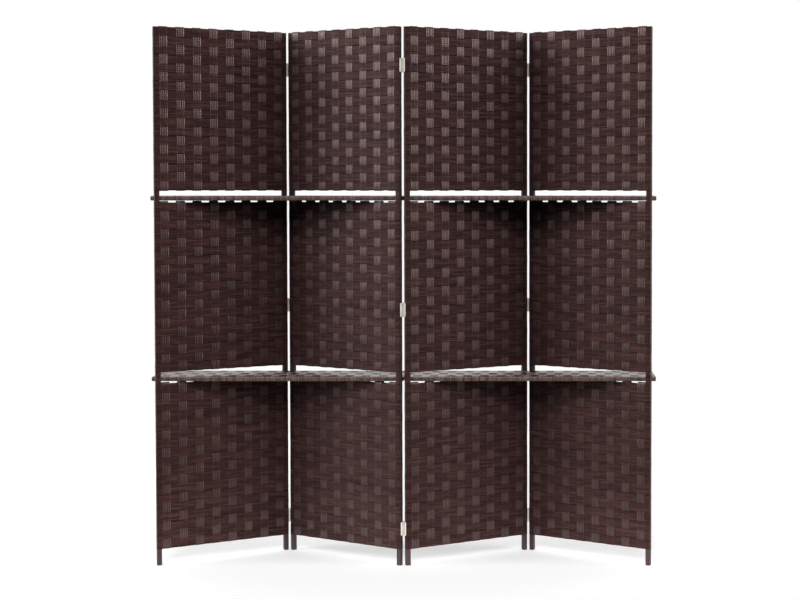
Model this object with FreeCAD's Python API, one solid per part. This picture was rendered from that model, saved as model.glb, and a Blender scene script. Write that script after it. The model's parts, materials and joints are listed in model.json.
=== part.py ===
"""Folding screen of four woven panels with four loose shelves, in millimetres.

Z is up and the floor is z = 0. The screen stands open in a zigzag: its outer edges and its middle
joint come forward, towards -Y, and the other two joints lie back. Each panel is a frame of two
stiles and six rails, with a woven cord skin over the frame in three sections. Two slots are left
between the sections, and a shelf lies in the slots of each pair of panels.
"""
import FreeCAD, Part
import math
import os

V = FreeCAD.Vector
ACROSS = V(1, 0, 0)
UP = V(0, 0, 1)

# Panel, in its own frame: x along the width, y through the thickness, front towards -y.
panel_width = 450.0
stile_height = 1797.5
stile_width = 16.0
stile_thickness = 16.0
stile_ease = 2.0
foot_chamfer = 1.5
foot_height = 55.0
rail_height = 16.0
tenon_length = 8.0
tenon_thickness = 6.0
tenon_height = 10.0
tenon_clearance = 0.1

# Woven skin: cord bands over the frame, with the upright bands looped over the top rail. It is
# two bands deep on the faces, and one band drawn tight at the edges.
skin = 1.5
edge_skin = 0.75
band_count = 8
band_width = 28.0
seat_loop_height = 5.5
top_loop_height = 2.5
loop_ease_share = 0.6

# Shelves: a light frame under a woven cover, lying on the loops in the slots.
shelf_overhang = 15.0
shelf_thickness = 17.0
shelf_cover = 2.0
shelf_ease = 3.0
shelf_rail_width = 16.0
shelf_batten_width = 20.0
shelf_batten_count = 5
shelf_edge_gap = 10.8
shelf_end_gap = 1.0
shelf_seat_gap = 0.3
shelf_head_room = 17.5
shelf_bottoms = {"lower": 614.0, "upper": 1220.0}

# Butt hinges, three at each joint.
hinge_length = 46.0
lowest_hinge_height = 123.0
middle_hinge_height = 857.0
top_hinge_drop = 127.5
knuckle_radius = 2.8
knuckle_count = 5
knuckle_side_count = 8
knuckle_side_gap = 0.3
leaf_width = 17.0
leaf_thickness = 1.2
leaf_ease = 2.5
leaf_knuckle_gap = 0.5
leaf_pair_gap = 0.6
pin_stand_off = 1.0
pin_radius = 1.4
pin_clearance = 0.1
pin_head_height = 1.2
pin_side_count = 6
screw_spacing = 28.0
screw_head_radius = 3.1
screw_shank_radius = 1.5
screw_length = 12.0
screw_clearance = 0.1
screw_side_count = 6

# How far each panel is turned from the screen's own line, in degrees, as it stands in use.
rest_turn = 26.0

# Worked out from the sizes above.
panel_thickness = stile_thickness + 2 * skin
skin_ease = stile_ease + (skin + edge_skin) * (1 - math.sqrt(0.5))
pin_to_edge = leaf_thickness + leaf_pair_gap / 2
axis_across = panel_width / 2 + pin_to_edge
axis_through = panel_thickness / 2 + pin_stand_off
turn = math.radians(rest_turn)
joint_pitch = 2 * (axis_across * math.cos(turn) + axis_through * math.sin(turn))
joint_depth = 2 * (axis_across * math.sin(turn) - axis_through * math.cos(turn))
slot_height = seat_loop_height + shelf_seat_gap + shelf_thickness + shelf_head_room
stile_inner = panel_width / 2 - edge_skin - stile_width
binding_inner = stile_inner - edge_skin
band_pitch = (2 * binding_inner - band_width) / (band_count - 1)
shelf_depth = joint_depth - 2 * shelf_edge_gap
hinge_heights = (lowest_hinge_height, middle_hinge_height, stile_height - top_hinge_drop)
outer_edge = 3 * joint_pitch / 2 + panel_width * math.cos(turn) / 2
outer_edge += panel_thickness * math.sin(turn) / 2
shelf_length = outer_edge + shelf_overhang - shelf_end_gap / 2


def closed_wire(points):
    return Part.makePolygon(points + points[:1])


def eased_outline(u0, u1, v0, v1, ease, place):
    """Wire round a rectangle with its corners eased off; place turns (u, v) into a point."""
    sides = [(u0 + ease, v0), (u1 - ease, v0), (u1, v0 + ease), (u1, v1 - ease),
             (u1 - ease, v1), (u0 + ease, v1), (u0, v1 - ease), (u0, v0 + ease)]
    return closed_wire([place(u, v) for u, v in sides])


def upright_bar(x0, x1, y0, y1, z0, z1, ease):
    """Upright bar with eased long edges."""
    outline = eased_outline(x0, x1, y0, y1, ease, lambda u, v: V(u, v, z0))
    return Part.Face(outline).extrude(UP * (z1 - z0))


def lying_bar(x0, x1, y0, y1, z0, z1, ease):
    """Bar along x with eased long edges."""
    outline = eased_outline(y0, y1, z0, z1, ease, lambda u, v: V(x0, u, v))
    return Part.Face(outline).extrude(ACROSS * (x1 - x0))


def few_sided(start_radius, end_radius, side_count, base, reach):
    """Round piece that comes many times over: a straight or tapered bar with a few flats."""
    wires = []
    for radius, level in ((start_radius, 0), (end_radius, reach.Length)):
        corners = []
        for number in range(side_count):
            angle = math.pi * (2 * number + 1) / side_count
            corners.append(V(radius * math.cos(angle), radius * math.sin(angle), level))
        wires.append(closed_wire(corners))
    bar = Part.makeLoft(wires, True, True)
    bar.Placement = FreeCAD.Placement(base, FreeCAD.Rotation(UP, reach))
    return bar


def bore(radius, side_count, base, reach):
    """Few-sided hole whose flats lie at the radius, so a piece of that radius turns in it."""
    corner = radius / math.cos(math.pi / side_count)
    return few_sided(corner, corner, side_count, base, reach)


def block(x0, x1, y0, y1, z0, z1):
    return Part.makeBox(x1 - x0, y1 - y0, z1 - z0, V(x0, y0, z0))


def fused(shapes):
    return shapes[0].multiFuse(shapes[1:]).removeSplitter()


def turned(shape, angle, centre_x):
    """Copy of a panel's piece, turned about the upright and moved to the panel's place."""
    placement = FreeCAD.Placement(V(centre_x, 0, 0), FreeCAD.Rotation(UP, angle))
    return shape.transformed(placement.toMatrix(), True)


def save(name, shapes):
    solids = [solid for shape in shapes for solid in shape.Solids]
    whole = solids[0] if len(solids) == 1 else Part.makeCompound(solids)
    whole.exportStep(f"parts/{name}.step")
    print(name, len(solids), "valid" if whole.isValid() else "BAD", round(whole.Volume))


def section_levels():
    """Bottom and top of the frame of each woven section, from the foot up."""
    seats = [bottom - shelf_seat_gap - seat_loop_height for bottom in shelf_bottoms.values()]
    lower_seat, upper_seat = seats
    return {
        "lower": (foot_height, lower_seat),
        "middle": (lower_seat + slot_height, upper_seat),
        "upper": (upper_seat + slot_height, stile_height),
    }


def screw_heights():
    """Heights of all the hinge screws on one stile."""
    return [level + side * screw_spacing / 2 for level in hinge_heights for side in (-1, 1)]


def screw_through(side_through):
    """Place of a leaf's screws through the panel's thickness; side_through is the pin's side."""
    return side_through * (axis_through - (leaf_width + knuckle_radius + leaf_knuckle_gap) / 2)


def screw_holes(side_across, side_through):
    """Holes for the screws of one edge, through the skin and into the stile."""
    y = screw_through(side_through)
    radius = screw_shank_radius + screw_clearance
    start = side_across * panel_width / 2
    reach = ACROSS * (-side_across * (screw_length - leaf_thickness + screw_clearance))
    return [bore(radius, screw_side_count, V(start, y, z), reach) for z in screw_heights()]


def rail_levels(section):
    """Bottoms of the two rails of a section."""
    bottom, top = section_levels()[section]
    return [bottom, top - rail_height]


def stile(side_across, hinge_side):
    """One post: eased edges, a chamfered foot, mortises for six rails and screw holes."""
    inner = side_across * stile_inner
    outer = side_across * (stile_inner + stile_width)
    half = stile_thickness / 2
    bar = upright_bar(min(inner, outer), max(inner, outer), -half, half, 0, stile_height,
                      stile_ease)
    sole = [edge for edge in bar.Edges if edge.BoundBox.ZMax < foot_chamfer]
    bar = bar.makeChamfer(foot_chamfer, sole)
    deep = inner + side_across * (tenon_length + tenon_clearance)
    thick = tenon_thickness / 2 + tenon_clearance
    high = tenon_height / 2 + tenon_clearance
    cuts = []
    for section in section_levels():
        for level in rail_levels(section):
            middle = level + rail_height / 2
            cuts.append(block(min(inner, deep), max(inner, deep), -thick, thick,
                              middle - high, middle + high))
    if hinge_side:
        cuts += screw_holes(side_across, hinge_side)
    return bar.cut(Part.makeCompound(cuts))


def rail(bottom):
    """One cross rail between the stiles, with a tenon at each end."""
    half = stile_thickness / 2
    body = block(-stile_inner, stile_inner, -half, half, bottom, bottom + rail_height)
    reach = stile_inner + tenon_length
    middle = bottom + rail_height / 2
    tenon = block(-reach, reach, -tenon_thickness / 2, tenon_thickness / 2,
                  middle - tenon_height / 2, middle + tenon_height / 2)
    return fused([body, tenon])


def band_centres():
    first = -binding_inner + band_width / 2
    return [first + number * band_pitch for number in range(band_count)]


def loop_over(centre, rail_top, height):
    """Upright band where it goes over a rail: a cap with its front and back eased off."""
    half = panel_thickness / 2
    ease = loop_ease_share * height
    x = centre - band_width / 2
    top = rail_top + height
    profile = [V(x, -half, rail_top), V(x, -half, top - ease), V(x, -half + ease, top),
               V(x, half - ease, top), V(x, half, top - ease), V(x, half, rail_top)]
    return Part.Face(closed_wire(profile)).extrude(ACROSS * band_width)


def skin_tube(x0, x1, z0, z1):
    """Woven skin round whatever stands between x0 and x1."""
    half = panel_thickness / 2
    outer = upright_bar(x0, x1, -half, half, z0, z1, skin_ease)
    inner = upright_bar(x0 + edge_skin, x1 - edge_skin, -half + skin, half - skin, z0, z1,
                        stile_ease)
    return outer.cut(inner)


def woven_section(section, hinge_sides):
    """Skin of one section, with its loops over the top rail."""
    bottom, top = section_levels()[section]
    edge = panel_width / 2
    pieces = [skin_tube(-edge, edge, bottom, top)]
    top_loop = top_loop_height if section == "upper" else seat_loop_height
    pieces += [loop_over(centre, top, top_loop) for centre in band_centres()]
    whole = fused(pieces)
    holes = []
    for side_across, side_through in hinge_sides.items():
        holes += [hole for hole in screw_holes(side_across, side_through)
                  if bottom < hole.BoundBox.Center.z < top]
    return whole.cut(Part.makeCompound(holes)) if holes else whole


def bindings():
    """Cord wound round both stiles beside each slot."""
    edge = panel_width / 2
    tops = [top for section, (bottom, top) in section_levels().items() if section != "upper"]
    return [skin_tube(x0, x1, top, top + slot_height)
            for top in tops for x0, x1 in ((-edge, -binding_inner), (binding_inner, edge))]


def knuckle_span(number):
    """Bottom and top of one knuckle, from the hinge's own middle."""
    pitch = hinge_length / knuckle_count
    start = -hinge_length / 2 + number * pitch
    return start + knuckle_side_gap / 2, start + pitch - knuckle_side_gap / 2


def leaf(first_knuckle):
    """Hinge leaf with the pin on z; the wood is towards -x and the plate goes towards -y."""
    wood = -pin_to_edge
    face = wood + leaf_thickness
    plate_end = -(knuckle_radius + leaf_knuckle_gap)
    half = hinge_length / 2
    plate = block(wood, face, -leaf_width, plate_end, -half, half)
    corners = [edge for edge in plate.Edges
               if edge.BoundBox.YMax < plate_end and edge.BoundBox.XLength > leaf_thickness / 2]
    pieces = [plate.makeChamfer(leaf_ease, corners)]
    bores = []
    for number in range(first_knuckle, knuckle_count, 2):
        low, high = knuckle_span(number)
        base, reach = V(0, 0, low), UP * (high - low)
        pieces.append(block(wood, face, plate_end, 0, low, high))
        pieces.append(few_sided(knuckle_radius, knuckle_radius, knuckle_side_count, base, reach))
        bores.append(bore(pin_radius + pin_clearance, pin_side_count, base, reach))
    narrow = screw_shank_radius + screw_clearance
    wide = screw_head_radius + screw_clearance
    for side in (-1, 1):
        centre = V(face, screw_through(1) - axis_through, side * screw_spacing / 2)
        bores.append(few_sided(wide, narrow, screw_side_count, centre, ACROSS * -leaf_thickness))
    return fused(pieces).cut(Part.makeCompound(bores))


def pin():
    """Hinge pin, which stands out a little at both ends."""
    reach = hinge_length / 2 + pin_head_height
    return few_sided(pin_radius, pin_radius, pin_side_count, V(0, 0, -reach), UP * (2 * reach))


def screw():
    """Countersunk screw for the leaf above."""
    top = V(leaf_thickness - pin_to_edge, 0, 0)
    head = few_sided(screw_head_radius, screw_shank_radius, screw_side_count, top,
                     ACROSS * -leaf_thickness)
    shank = few_sided(screw_shank_radius, screw_shank_radius, screw_side_count, top,
                      ACROSS * -screw_length)
    return fused([head, shank])


def on_edge(shape, side_across, side_through):
    """Places a hinge piece, made for a right-hand edge and a pin behind, on a panel's edge."""
    if side_across < 0:
        shape = shape.mirror(V(0, 0, 0), ACROSS)
    if side_through < 0:
        shape = shape.mirror(V(0, 0, 0), V(0, 1, 0))
    return shape.translated(V(side_across * axis_across, side_through * axis_through, 0))


def hinge_pieces(side_across, side_through, first_knuckle):
    """The three leaves and six screws of one edge, in the panel's frame."""
    leaves = [on_edge(leaf(first_knuckle), side_across, side_through).translated(UP * level)
              for level in hinge_heights]
    seat = V(0, screw_through(1) - axis_through, 0)
    fastener = on_edge(screw().translated(seat), side_across, side_through)
    return leaves, [fastener.translated(UP * level) for level in screw_heights()]


def shelf(left_end, bottom):
    """Frame rails, battens and woven cover of one shelf; the cover hides the frame's ends."""
    half = shelf_depth / 2
    right_end = left_end + shelf_length
    top = bottom + shelf_thickness
    low, high = bottom + shelf_cover, top - shelf_cover
    rail_ease = shelf_ease - shelf_cover * (2 - math.sqrt(2))
    outer = lying_bar(left_end, right_end, -half, half, bottom, top, shelf_ease)
    hollow = lying_bar(left_end, right_end, -half + shelf_cover, half - shelf_cover, low, high,
                       rail_ease)
    front = -half + shelf_cover
    back = half - shelf_cover
    first, last = left_end + shelf_cover, right_end - shelf_cover
    rails = [lying_bar(first, last, front, front + shelf_rail_width, low, high, rail_ease),
             lying_bar(first, last, back - shelf_rail_width, back, low, high, rail_ease)]
    step = (last - first - shelf_batten_width) / (shelf_batten_count - 1)
    battens = []
    for number in range(shelf_batten_count):
        start = first + number * step
        battens.append(block(start, start + shelf_batten_width, front + shelf_rail_width,
                             back - shelf_rail_width, low, high))
    return rails, battens, [outer.cut(hollow)]


panel_count = 4
joint_names = ("left", "middle", "right")
# The panel whose knuckles hold each joint's pins tight.
pin_keepers = {"left": "panel_2", "middle": "panel_2", "right": "panel_3"}


def fold_side(joint):
    """Side of the panels on which a joint's pins lie: the joints fold by turns back and front."""
    return 1 if joint % 2 else -1


def hinged_edges(panel):
    """For each edge of a panel that has hinges, the side on which its pins lie."""
    edges = {}
    if panel > 0:
        edges[-1] = fold_side(panel - 1)
    if panel < panel_count - 1:
        edges[1] = fold_side(panel)
    return edges


def panel_place(panel):
    """Turn of a panel, and the place of its middle along the screen; panels count from 0."""
    angle = -rest_turn if panel % 2 else rest_turn
    return angle, (panel - (panel_count - 1) / 2) * joint_pitch


os.makedirs("parts", exist_ok=True)

for panel in range(panel_count):
    name = f"panel_{panel + 1}"
    angle, centre_x = panel_place(panel)
    edges = hinged_edges(panel)
    for side_name, side in (("left", -1), ("right", 1)):
        post = stile(side, edges.get(side))
        save(f"{name}_{side_name}_stile", [turned(post, angle, centre_x)])
    for section in section_levels():
        rails = [turned(rail(level), angle, centre_x) for level in rail_levels(section)]
        save(f"{name}_{section}_rails", rails)
        weave = woven_section(section, edges)
        save(f"{name}_{section}_weave", [turned(weave, angle, centre_x)])
    save(f"{name}_bindings", [turned(piece, angle, centre_x) for piece in bindings()])

hinge_screws = {panel: [] for panel in range(panel_count)}
hinge_pins = {keeper: [] for keeper in pin_keepers.values()}
for joint, joint_name in enumerate(joint_names):
    for panel, side_across, first_knuckle in ((joint, 1, 0), (joint + 1, -1, 1)):
        angle, centre_x = panel_place(panel)
        leaves, screws = hinge_pieces(side_across, fold_side(joint), first_knuckle)
        save(f"{joint_name}_hinge_leaves_on_panel_{panel + 1}",
             [turned(piece, angle, centre_x) for piece in leaves])
        hinge_screws[panel] += [turned(piece, angle, centre_x) for piece in screws]
    pin_x = (joint + 1 - panel_count / 2) * joint_pitch
    pin_y = -fold_side(joint) * joint_depth / 2
    hinge_pins[pin_keepers[joint_name]] += [pin().translated(V(pin_x, pin_y, level))
                                            for level in hinge_heights]
for panel, screws in hinge_screws.items():
    save(f"panel_{panel + 1}_hinge_screws", screws)
for keeper, pins in hinge_pins.items():
    save(f"{keeper}_hinge_pins", pins)

for level_name, bottom in shelf_bottoms.items():
    for side_name, left_end in (("left", -shelf_end_gap / 2 - shelf_length),
                                ("right", shelf_end_gap / 2)):
        rails, battens, cover = shelf(left_end, bottom)
        save(f"{level_name}_{side_name}_shelf_rails", rails)
        save(f"{level_name}_{side_name}_shelf_battens", battens)
        save(f"{level_name}_{side_name}_shelf_cover", cover)

print("joint pitch", round(joint_pitch, 3), "joint depth", round(joint_depth, 3))
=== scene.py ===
import json
import math

import bpy
from mathutils import Matrix, Vector


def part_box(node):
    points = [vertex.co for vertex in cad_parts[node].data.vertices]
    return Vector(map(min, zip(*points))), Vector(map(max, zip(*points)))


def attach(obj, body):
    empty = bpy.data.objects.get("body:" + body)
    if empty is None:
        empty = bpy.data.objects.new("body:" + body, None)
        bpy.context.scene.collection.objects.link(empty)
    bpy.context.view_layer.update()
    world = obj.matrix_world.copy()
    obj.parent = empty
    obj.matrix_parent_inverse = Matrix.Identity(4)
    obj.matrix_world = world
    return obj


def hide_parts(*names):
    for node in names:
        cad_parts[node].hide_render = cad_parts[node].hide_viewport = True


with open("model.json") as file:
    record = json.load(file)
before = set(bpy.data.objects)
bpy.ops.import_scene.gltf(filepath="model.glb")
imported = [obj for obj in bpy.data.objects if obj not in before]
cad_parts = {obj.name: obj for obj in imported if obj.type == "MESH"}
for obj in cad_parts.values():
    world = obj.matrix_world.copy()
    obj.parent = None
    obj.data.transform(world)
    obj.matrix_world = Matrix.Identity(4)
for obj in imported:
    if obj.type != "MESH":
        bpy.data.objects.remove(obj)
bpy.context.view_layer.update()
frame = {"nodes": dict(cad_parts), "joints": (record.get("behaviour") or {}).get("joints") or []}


# The frame of each panel: two stiles with bare feet and the rails between them. They are sticks
# of light wood with eased edges, sawn square, stained dark brown and left with a dull sheen. The
# shelves' frames are made of the same wood.
class Value:
    """A socket of a finish. Sums written with it become Math nodes."""

    def __init__(self, finish, socket):
        self.finish = finish
        self.socket = socket

    def maths(self, operation, first, second):
        return self.finish.node("Math", {"operation": operation}, {0: first, 1: second})

    def __add__(self, other):
        return self.maths("ADD", self, other)

    def __sub__(self, other):
        return self.maths("SUBTRACT", self, other)

    def __rsub__(self, other):
        return self.maths("SUBTRACT", other, self)

    def __mul__(self, other):
        return self.maths("MULTIPLY", self, other)

    def __truediv__(self, other):
        return self.maths("DIVIDE", self, other)

    def __pow__(self, other):
        return self.maths("POWER", self, other)

    def __mod__(self, other):
        return self.maths("FLOORED_MODULO", self, other)

    __radd__ = __add__
    __rmul__ = __mul__

    def floor(self):
        return self.finish.node("Math", {"operation": "FLOOR"}, {0: self})

    def sine(self):
        return self.finish.node("Math", {"operation": "SINE"}, {0: self})


class Finish:
    """The nodes of a material, or of the room."""

    def __init__(self, name, room=None):
        self.material = room or bpy.data.materials.new(name)
        self.material.use_nodes = True
        self.tree = self.material.node_tree
        self.tree.nodes.clear()

    def node(self, kind, settings=None, inputs=None, output=0):
        made = self.tree.nodes.new("ShaderNode" + kind)
        for name, value in (settings or {}).items():
            if name == "stops":
                ramp = made.color_ramp.elements
                while len(ramp) < len(value):
                    ramp.new(1.0)
                for stop, (place, colour) in zip(ramp, value):
                    stop.position = place
                    stop.color = (*colour, 1.0)
            else:
                setattr(made, name, value)
        for name, value in (inputs or {}).items():
            if isinstance(value, Value):
                self.tree.links.new(value.socket, made.inputs[name])
            else:
                made.inputs[name].default_value = value
        return Value(self, made.outputs[output]) if made.outputs else None

    def place(self):
        """Coordinates of the object itself, in metres."""
        object_output = 3
        return self.node("TexCoord", None, None, object_output)

    def axes(self, vector):
        split = self.node("SeparateXYZ", None, {0: vector}).socket.node
        return [Value(self, split.outputs[number]) for number in range(3)]

    def vector(self, x, y, z):
        return self.node("CombineXYZ", None, {0: x, 1: y, 2: z})

    def scaled(self, vector, scale):
        return self.node("Mapping", None, {"Vector": vector, "Scale": scale})

    def noise(self, place, detail=3.0, roughness=0.55):
        return self.node("TexNoise", None, {"Vector": place, "Scale": 1.0, "Detail": detail,
                                            "Roughness": roughness})

    def colours(self, value, stops):
        return self.node("ValToRGB", {"stops": stops}, {0: value})

    def relief(self, height, depth):
        return self.node("Bump", None, {"Height": height, "Distance": depth, "Strength": 1.0})

    def surface(self, **values):
        inputs = {name.replace("_", " "): value for name, value in values.items()}
        self.node("OutputMaterial", None, {"Surface": self.node("BsdfPrincipled", None, inputs)})
        return self.material


def stained_wood(name, grain_along):
    """Dark stained softwood whose grain runs along x, y or z."""
    finish = Finish(name)
    place = finish.place()
    fine = [420.0, 420.0, 420.0]
    fine[grain_along] = 9.0
    grain = finish.noise(finish.scaled(place, fine), 4.0, 0.6)
    tone = finish.noise(finish.scaled(place, (14.0, 14.0, 4.0)), 2.0)
    mixed = grain * 0.7 + tone * 0.3
    colour = finish.colours(mixed, [(0.3, (0.020, 0.009, 0.007)), (0.5, (0.046, 0.022, 0.018)),
                                    (0.72, (0.085, 0.046, 0.038))])
    return finish.surface(Base_Color=colour, Roughness=0.45 + grain * 0.2,
                          Normal=finish.relief(grain, 0.0004))


def paint(kinds, material):
    """Gives a material to the pieces with one of these words in their names."""
    for name, node in frame["nodes"].items():
        if any(kind in name for kind in kinds):
            node.data.materials.clear()
            node.data.materials.append(material)


X_AXIS, Z_AXIS = 0, 2
paint(["stile"], stained_wood("stained_wood_upright", Z_AXIS))
paint(["rails", "battens"], stained_wood("stained_wood_lying", X_AXIS))


# The cord skin of the panels. Twisted paper cord is laid in flat bands of five. The lying bands
# go right round the panel and the upright ones over its top and bottom rail, and each goes by
# turns over and under the other. Every section of a panel is woven by itself.
TURN = math.radians(26.0)
JOINT_PITCH = next(joint["pos_m"][0] for joint in frame["joints"] if joint["name"] == "right_fold")
PANEL_WIDTH = 0.450
STILE_HALF = 0.008
CORDS = 5
BAND_WIDTH = 0.028
BAND_COUNT = 8
OUTER_BAND = 0.1935
BAND_CENTRES = [OUTER_BAND * (2 * number / (BAND_COUNT - 1) - 1) for number in range(BAND_COUNT)]
CORNER = 0.0022

# Height over the wood of the furrows between a band's cords: where the band goes under, at the
# top of its way over, and at the foot of its slopes. Closed panels just clear each other.
UNDER = 0.0002
OVER = 0.0011
SLOPED = 0.0007


def deselect():
    if bpy.context.object and bpy.context.object.mode == "EDIT":
        bpy.ops.object.mode_set(mode="OBJECT")
    bpy.ops.object.select_all(action="DESELECT")


def pick(test):
    """Selects the vertices of the mesh in hand whose place passes the test."""
    bpy.ops.mesh.select_all(action="DESELECT")
    bpy.ops.object.mode_set(mode="OBJECT")
    for vertex in bpy.context.object.data.vertices:
        vertex.select = test(vertex.co)
    bpy.ops.object.mode_set(mode="EDIT")


def first_stretch(start, end, width, cords, rise):
    """First stretch of a band, with its end selected: each cord is two slopes and a top."""
    deselect()
    middle = (start[0] + end[0]) / 2
    bpy.ops.mesh.primitive_grid_add(x_subdivisions=1, y_subdivisions=3 * cords, size=1.0,
                                    location=(middle, start[1], 0.0),
                                    rotation=(math.radians(90.0), 0.0, 0.0))
    bpy.context.object.scale = (end[0] - start[0], width, 1.0)
    bpy.ops.object.transform_apply(location=True, rotation=True, scale=True)
    bpy.ops.object.mode_set(mode="EDIT")
    bpy.context.tool_settings.mesh_select_mode = (True, False, False)
    cord = width / cords
    pick(lambda co: abs((co.z + width / 2 + cord / 2) % cord - cord / 2) > cord / 6)
    bpy.ops.transform.translate(value=(0.0, -rise, 0.0))
    pick(lambda co: co.x > middle)
    if end[1] != start[1]:
        bpy.ops.transform.translate(value=(0.0, end[1] - start[1], 0.0))


def wound_band(name, width, cords, rise, route):
    """Flat band of cords wound once round a route of points and quarter turns.

    The route lies in the x, y plane and starts at its first point, going towards +x with the
    outside towards -y. A step of two numbers is a point, and one of three is the centre of a
    turn and its angle. The band's width is along z, and its cords stand out by the rise.
    """
    first_stretch(route[0], route[1], width, cords, rise)
    at = Vector(route[1])
    for step in route[2:]:
        if len(step) == 2:
            move = Vector(step) - at
            bpy.ops.mesh.extrude_region_move(
                TRANSFORM_OT_translate={"value": (move.x, move.y, 0.0)})
            at = Vector(step)
        else:
            centre = Vector(step[:2])
            bpy.ops.mesh.spin(steps=3, angle=math.radians(-step[2]), center=(*centre, 0.0),
                              axis=(0.0, 0.0, 1.0))
            arm = at - centre
            at = centre + Vector((-arm.y, arm.x))
    bpy.ops.mesh.select_all(action="SELECT")
    bpy.ops.mesh.remove_doubles(threshold=0.00005)
    bpy.ops.mesh.normals_make_consistent(inside=False)
    bpy.ops.object.mode_set(mode="OBJECT")
    band = bpy.context.object
    band.name = name
    lay_coordinates(band, width, cords)
    return band


def lay_coordinates(band, width, cords):
    """UV map of a band: u in metres along its cords, and v counts the cords across it."""
    layer = band.data.uv_layers.get("cords") or band.data.uv_layers.new(name="cords")
    for loop in band.data.loops:
        co = band.data.vertices[loop.vertex_index].co
        layer.data[loop.index].uv = (co.x + co.y, (co.z / width + 0.5) * cords)
    layer.active = True
    for other in [each for each in band.data.uv_layers if each.name != "cords"]:
        band.data.uv_layers.remove(other)


def shift_coordinates(piece, along, across):
    """Moves a band along its finish, so that no two bands have the same streaks."""
    for loop in piece.data.uv_layers["cords"].data:
        loop.uv = (loop.uv[0] + along, loop.uv[1] + across)


def round_the_frame(face, low, high, half_depth):
    """Closed route over the front, round the high end, over the back and round the low end.

    The face holds the points of one side, from low to high, with their depth from the middle.
    """
    turn_low, turn_high = low + CORNER, high - CORNER
    inner = half_depth - CORNER
    front = [(x, -y) for x, y in face]
    back = [(x, y) for x, y in reversed(face)]
    return [*front, (turn_high, -half_depth), (turn_high, -inner, 90), (high, inner),
            (turn_high, inner, 90), *back, (turn_low, half_depth), (turn_low, inner, 90),
            (low, -inner), (turn_low, -inner, 90), front[0]]


def lying_route(over_first, half_width, centres, wood, rise):
    """Route of a lying band: over the 1st, 3rd ... upright band or over the 2nd, 4th ... one."""
    face = []
    edge = BAND_WIDTH / 2
    for number, centre in enumerate(centres):
        if (number % 2 == 0) == over_first:
            face += [(centre - edge, wood + SLOPED), (centre - edge / 3, wood + OVER),
                     (centre + edge / 3, wood + OVER), (centre + edge, wood + SLOPED)]
        else:
            face += [(centre - edge, wood + UNDER), (centre + edge, wood + UNDER)]
    end = half_width - rise
    return round_the_frame(face, -end, end, wood + UNDER)


def upright_route(over_first, length, rows, wood, rise, top_loop, bottom_loop):
    """Route of an upright band, along x for now: over the 1st, 3rd ... lying band or the others."""
    pitch = length / rows
    slope = 0.36 * pitch
    flat = 0.3 * pitch
    face = []
    for number in range(rows):
        middle = -length / 2 + (number + 0.5) * pitch
        if (number % 2 == 0) == over_first:
            face += [(middle - slope, wood + SLOPED), (middle, wood + OVER),
                     (middle + slope, wood + SLOPED)]
        else:
            face += [(middle - flat, wood + UNDER), (middle + flat, wood + UNDER)]
    return round_the_frame(face, -length / 2 - bottom_loop + rise, length / 2 + top_loop - rise,
                           wood + UNDER)


def copy_of(piece, place):
    """Copy of a finished mesh with its place baked in."""
    twin = piece.copy()
    twin.data = piece.data.copy()
    bpy.context.collection.objects.link(twin)
    twin.data.transform(place)
    return twin


def joined(pieces, name):
    """One piece of several, shaded smooth over the rounding of the cords."""
    deselect()
    for piece in pieces:
        piece.select_set(True)
    bpy.context.view_layer.objects.active = pieces[0]
    bpy.ops.object.join()
    whole = bpy.context.object
    whole.name = name
    bpy.ops.object.shade_smooth_by_angle(angle=math.radians(60.0))
    return whole


def twisted_cord(name, dark, middle, light, roughness, shine):
    """Twisted paper cord: stained in the roll, so its colour runs in streaks, and waxed."""
    finish = Finish(name)
    along, across, _ = finish.axes(finish.node("UVMap", {"uv_map": "cords"}))
    cord = across.floor()
    rim = (across - cord) * 2.0 - 1.0
    band_edge_shade = ((across / CORDS) % 1.0 * 2.0 - 1.0) ** 14.0
    tone = finish.noise(finish.vector(along * 11.0, cord * 3.7, 0.5), 2.0)
    streak = finish.noise(finish.vector(along * 70.0, across * 8.0, 1.5), 3.0)
    fibre = finish.noise(finish.vector(along * 500.0, across * 15.0, 2.5), 2.0)
    twist = (along * 950.0 + across * 6.2).sine() * 0.5 + 0.5
    # The colour is darkened towards the sides of each cord, and more at both edges of each band of
    # five: painted shade in the furrows between cords and between bands.
    mixed = tone * 0.5 + streak * 0.4 + fibre * 0.1 - rim * rim * 0.09 - band_edge_shade * 0.22 + 0.02
    colour = finish.colours(mixed, [(0.30, dark), (0.47, middle), (0.66, light)])
    height = twist * 0.5 + streak * 0.35 + fibre * 0.15
    return finish.surface(Base_Color=colour, Roughness=roughness + fibre * 0.2,
                          Specular_IOR_Level=shine, Specular_Tint=(1.0, 0.72, 0.70, 1.0),
                          Normal=finish.relief(height, 0.00035))


# The upright cord is the same cord as the lying one, painted darker: painted shade, for the upright
# bands catch less of the light from above and from the floor than the lying ones.
lying_cord = twisted_cord("lying_cord", (0.007, 0.0026, 0.0023), (0.029, 0.0110, 0.0098),
                          (0.080, 0.035, 0.031), 0.45, 0.20)
upright_cord = twisted_cord("upright_cord", (0.007, 0.0033, 0.0030), (0.020, 0.0100, 0.0092),
                            (0.050, 0.029, 0.027), 0.28, 0.90)


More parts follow.
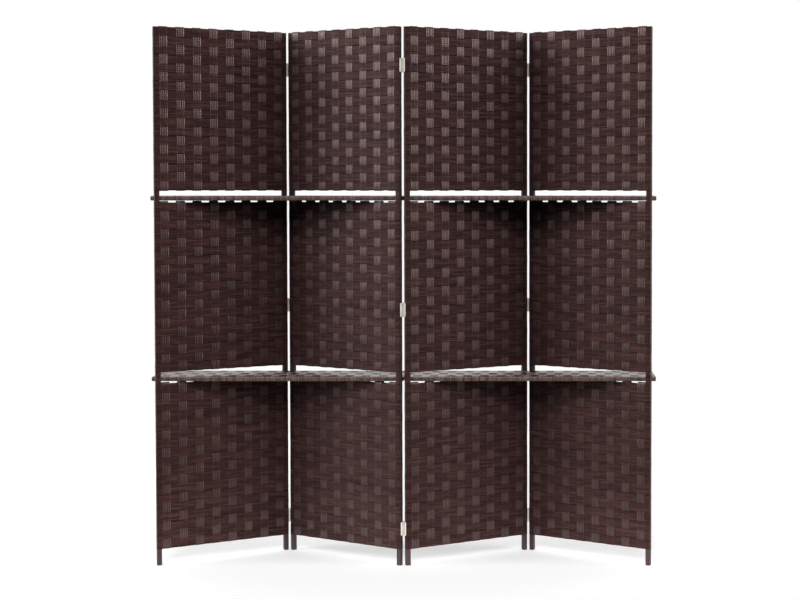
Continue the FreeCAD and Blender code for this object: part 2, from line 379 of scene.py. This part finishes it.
def woven_skin(name, width, length, rows, centres, wood, rise, top_loop, bottom_loop,
               lying_finish, upright_finish):
    """Lying and upright bands woven round a flat frame that stands at the origin.

    Wood is half the frame's thickness and rise is how far the cords stand out. The upright bands
    have their middles at the centres, and loop over the frame's top and bottom by the two loops.
    """
    row_pitch = length / rows
    lying = []
    for over_first in (True, False):
        route = lying_route(over_first, width / 2, centres, wood, rise)
        lying.append(wound_band("lying_band", row_pitch, CORDS, rise, route))
        lying[-1].data.materials.append(lying_finish)
    upright = []
    for over_first in (False, True):
        route = upright_route(over_first, length, rows, wood, rise, top_loop, bottom_loop)
        upright.append(wound_band("upright_band", BAND_WIDTH, CORDS, rise, route))
        upright[-1].data.materials.append(upright_finish)
        upright[-1].data.transform(Matrix.Rotation(math.radians(-90.0), 4, "Y"))
    pieces = []
    for row in range(rows):
        level = -length / 2 + (row + 0.5) * row_pitch
        pieces.append(copy_of(lying[row % 2], Matrix.Translation((0.0, 0.0, level))))
        shift_coordinates(pieces[-1], 0.37 * row, CORDS * row)
    for number, centre in enumerate(centres):
        pieces.append(copy_of(upright[number % 2], Matrix.Translation((centre, 0.0, 0.0))))
        shift_coordinates(pieces[-1], 0.53 * number, CORDS * number)
    for one in lying + upright:
        bpy.data.objects.remove(one)
    return joined(pieces, name)


rough_hand = bpy.data.textures.new("rough_hand", "CLOUDS")
rough_hand.noise_scale = 0.035
rough_hand.noise_depth = 1
rough_hand.cloud_type = "COLOR"


def by_hand(piece, strength):
    """Pulls the cords a little out of line, by less than half the strength, as a weaver does."""
    unevenness = piece.modifiers.new("unevenness", "DISPLACE")
    unevenness.texture = rough_hand
    unevenness.texture_coords = "LOCAL"
    unevenness.direction = "RGB_TO_XYZ"
    unevenness.mid_level = 0.5
    unevenness.strength = strength
    deselect()
    piece.select_set(True)
    bpy.context.view_layer.objects.active = piece
    bpy.ops.object.modifier_apply(modifier="unevenness")


PANELS = (1, 2, 3, 4)


def panel_place(panel):
    """Place and turn of a panel; the panels count from 1 at the left and turn by turns."""
    turn = TURN if panel % 2 else -TURN
    middle_number = (PANELS[0] + PANELS[-1]) / 2
    return (Matrix.Translation(((panel - middle_number) * JOINT_PITCH, 0.0, 0.0))
            @ Matrix.Rotation(turn, 4, "Z"))


# Each section's bottom, its top and the height of the loops over its top rail; and the rows of
# lying bands on each panel from left to right, as the photograph shows them. The second panel
# is the only one whose odd upright bands go over the top row: half a turn changes odd and even.
PANEL_RISE = 0.0010
SKIN_UNEVENNESS = 0.0009
BOTTOM_LOOP = 0.0015
SECTIONS = {"lower": (0.055, 0.6082, 0.0055), "middle": (0.6485, 1.2142, 0.0055),
            "upper": (1.2545, 1.7975, 0.0025)}
ROWS = {"lower": (18, 19, 18, 18), "middle": (19, 19, 18, 18), "upper": (18, 19, 18, 18)}
for section, (bottom, top, top_loop) in SECTIONS.items():
    for rows in sorted(set(ROWS[section])):
        skin = woven_skin("skin", PANEL_WIDTH, top - bottom, rows, BAND_CENTRES, STILE_HALF,
                          PANEL_RISE, top_loop, BOTTOM_LOOP, lying_cord, upright_cord)
        for panel in [number for number in PANELS if ROWS[section][number - 1] == rows]:
            odd_on_top = panel == 2
            half_turned = odd_on_top == (rows % 2 == 1)
            flip = Matrix.Rotation(math.pi if half_turned else 0.0, 4, "Z")
            lift = Matrix.Translation((0.0, 0.0, (bottom + top) / 2))
            name = f"panel_{panel}_{section}_weave"
            piece = copy_of(skin, panel_place(panel) @ lift @ flip)
            piece.name = name + "_of_cord"
            shift_coordinates(piece, 1.7 * panel, 0.0)
            by_hand(piece, SKIN_UNEVENNESS)
            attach(piece, f"panel_{panel}")
            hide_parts(name)
        bpy.data.objects.remove(skin)


# The bindings. Beside each slot the cord goes on round the stile alone, seven turns from one
# section to the next, so the frame is covered from the foot to the top.
BINDING_WIDTH = 0.0175
BINDING_TURNS = 7
BINDING_UNEVENNESS = 0.0012
route = round_the_frame([(-0.003, STILE_HALF + UNDER), (0.003, STILE_HALF + UNDER)],
                        PANEL_RISE - BINDING_WIDTH / 2, BINDING_WIDTH / 2 - PANEL_RISE,
                        STILE_HALF + UNDER)
slot_height = SECTIONS["middle"][0] - SECTIONS["lower"][1]
binding = wound_band("binding", slot_height, BINDING_TURNS, PANEL_RISE, route)
binding.data.materials.append(lying_cord)
for panel in PANELS:
    turns = []
    for lower, upper in (("lower", "middle"), ("middle", "upper")):
        level = (SECTIONS[lower][1] + SECTIONS[upper][0]) / 2
        for side in (-1, 1):
            x = side * (PANEL_WIDTH - BINDING_WIDTH) / 2
            turns.append(copy_of(binding, panel_place(panel) @ Matrix.Translation((x, 0.0, level))))
            shift_coordinates(turns[-1], 0.41 * side + panel, 9.0 * level)
    piece = joined(turns, f"panel_{panel}_bindings_of_cord")
    by_hand(piece, BINDING_UNEVENNESS)
    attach(piece, f"panel_{panel}")
    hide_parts(f"panel_{panel}_bindings")
bpy.data.objects.remove(binding)


# The shelves. Each is a light frame wound from front to back with the same cord and woven
# lengthwise with three bands. The cord of the shelves is varnished, so it shines more.
# The winding is painted far paler than the banding: partly the paler look of its fine wraps, partly
# a painted sheen of the light from in front on the shelves' front edges.
shelf_winding = twisted_cord("shelf_winding", (0.040, 0.022, 0.019), (0.125, 0.080, 0.071),
                             (0.240, 0.172, 0.158), 0.16, 0.7)
shelf_banding = twisted_cord("shelf_banding", (0.008, 0.004, 0.0035), (0.030, 0.015, 0.013),
                             (0.080, 0.048, 0.042), 0.14, 0.8)
SHELF_RISE = 0.0009
SHELF_WOOD = 0.0063
SHELF_ROWS = 30
SHELF_LOOP = 0.0015
SHELF_BAND_PITCH = 0.050
SHELF_CENTRES = [SHELF_BAND_PITCH * number for number in (-1, 0, 1)]
SHELF_UNEVENNESS = 0.0008
for level in ("lower", "upper"):
    for side in ("left", "right"):
        name = f"{level}_{side}_shelf"
        low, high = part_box(name + "_cover")
        piece = woven_skin(name + "_cover_of_cord", high[1] - low[1],
                           high[0] - low[0] - 2 * SHELF_LOOP, SHELF_ROWS, SHELF_CENTRES,
                           SHELF_WOOD, SHELF_RISE, SHELF_LOOP, SHELF_LOOP,
                           shelf_winding, shelf_banding)
        x, y, z = [(a + b) / 2 for a, b in zip(low, high)]
        lay_flat = Matrix(((0, 0, 1, x), (1, 0, 0, y), (0, 1, 0, z), (0, 0, 0, 1)))
        piece.data.transform(lay_flat)
        by_hand(piece, SHELF_UNEVENNESS)
        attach(piece, name)
        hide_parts(name + "_cover")


# The hinges: three small butt hinges of nickel-plated steel at each joint, screwed to the edges
# of the stiles through the cord. The plating is bright but dull, brushed lengthwise.
def brushed_nickel():
    finish = Finish("brushed_nickel")
    place = finish.place()
    brush = finish.noise(finish.scaled(place, (900.0, 900.0, 60.0)))
    spots = finish.noise(finish.scaled(place, (160.0, 160.0, 160.0)))
    colour = finish.colours(spots, [(0.32, (0.86, 0.81, 0.73)), (0.55, (0.94, 0.91, 0.85)),
                                    (0.75, (0.96, 0.94, 0.90))])
    return finish.surface(Base_Color=colour, Metallic=0.15, Roughness=0.30 + brush * 0.25,
                          Normal=finish.relief(brush, 0.0001))


paint(["hinge"], brushed_nickel())


# The studio: a pale floor in a white room. The room behind gives most of the light and the room
# in front is dim; soft light comes from far away at both sides and in front, so the upright cords
# shine at the sides' light and the lying ones don't.
def studio_paint():
    finish = Finish("white_floor")
    return finish.surface(Base_Color=(0.8, 0.8, 0.8, 1.0), Roughness=0.9,
                          Emission_Color=(1.0, 1.0, 1.0, 1.0), Emission_Strength=0.29)


deselect()
bpy.ops.mesh.primitive_plane_add(size=1.0, location=(0.0, 0.9, 0.0))
floor = bpy.context.object
floor.scale = (5.0, 2.7, 1.0)
bpy.ops.object.transform_apply(location=True, rotation=True, scale=True)
floor.name = "floor"
floor.data.materials.append(studio_paint())

room = Finish("white_room", bpy.data.worlds.new("white_room"))
_, depth, _ = room.axes(room.place())
behind = room.node("MapRange", {"interpolation_type": "SMOOTHSTEP"},
                   {"Value": depth, "From Min": -0.05, "From Max": 0.45,
                    "To Min": 0.03, "To Max": 1.0})
seen_by_camera = room.node("LightPath")
glow = behind + seen_by_camera * (1.0 - behind)
room.node("OutputWorld", None, {"Surface": room.node(
    "Background", None, {"Color": (1.0, 1.0, 1.0, 1.0), "Strength": glow})})
bpy.context.scene.world = room.material
bpy.context.scene.view_settings.view_transform = "Standard"


def far_light(name, towards, strength):
    """Soft light from far away that shines in one direction."""
    lamp = bpy.data.objects.new(name, bpy.data.lights.new(name, "SUN"))
    bpy.context.collection.objects.link(lamp)
    lamp.data.energy = strength
    lamp.data.angle = math.radians(28.0)
    lamp.rotation_euler = Vector(towards).to_track_quat("-Z", "Y").to_euler()


far_light("left_light", (0.96, 0.21, -0.23), 3.2)
far_light("right_light", (-0.96, 0.21, -0.23), 2.7)
far_light("front_light", (0.05, 0.75, -0.66), 1.6)

# The photograph's viewing place: over four metres in front, a little right of the middle and at
# the height of the upper shelf. The shift gives the photograph's own framing.
camera = bpy.data.objects.new("camera", bpy.data.cameras.new("camera"))
bpy.context.collection.objects.link(camera)
camera.location = (0.4295, -4.478, 1.270)
camera.data.sensor_width = 36.0
camera.data.lens = 59.31
camera.data.shift_x = -0.165
camera.data.shift_y = -0.097
camera.rotation_euler = (math.radians(90.0 - 1.59), 0.0, 0.0)
camera.data.clip_end = 100.0
bpy.context.scene.camera = camera
